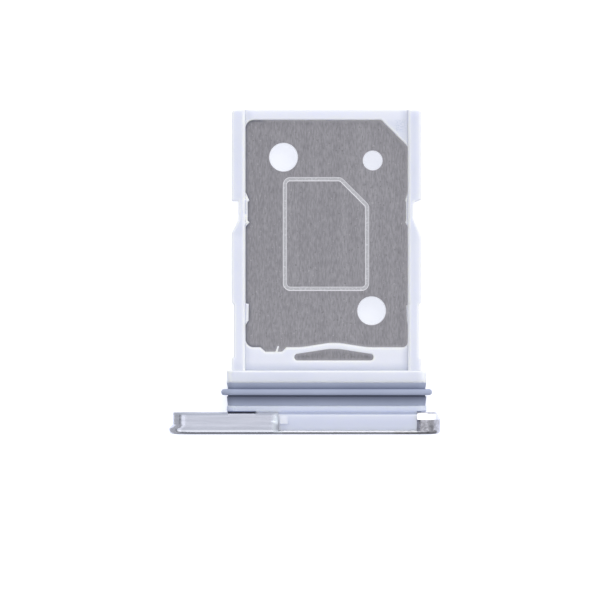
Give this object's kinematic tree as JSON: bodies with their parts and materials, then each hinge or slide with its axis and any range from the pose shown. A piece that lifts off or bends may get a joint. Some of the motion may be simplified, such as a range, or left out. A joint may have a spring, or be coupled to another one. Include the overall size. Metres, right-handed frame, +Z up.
{
  "type": "two-sided sim card tray",
  "caption": "Slide-in sim card tray: moulded frame with a card pocket on each side of a steel divider, a rubber seal ring and a pill-shaped metal face cap with an eject hole.",
  "frame": {"origin": "middle of the box round the whole part, on the surface it lies on", "axes": "+Z up, out of the card pocket that faces up; +Y from the face cap to the deep end that enters the phone first; +X to the right, away from the eject hole"},
  "size_m": [0.0148, 0.0178, 0.0024],
  "materials": {
    "carrier": "fine satin moulded plastic, white with a cool violet cast",
    "divider_plate": "rolled sheet steel, grain along the tray, with an etched card outline",
    "seal_ring": "soft satin silicone rubber, blue grey",
    "face_cap": "bead-blasted and anodised, pale blue silver"
  },
  "bodies": {
    "root": {"carrier": "carrier", "divider_plate": "divider_plate", "seal_ring": "seal_ring", "face_cap": "face_cap"}
  },
  "joints": []
}
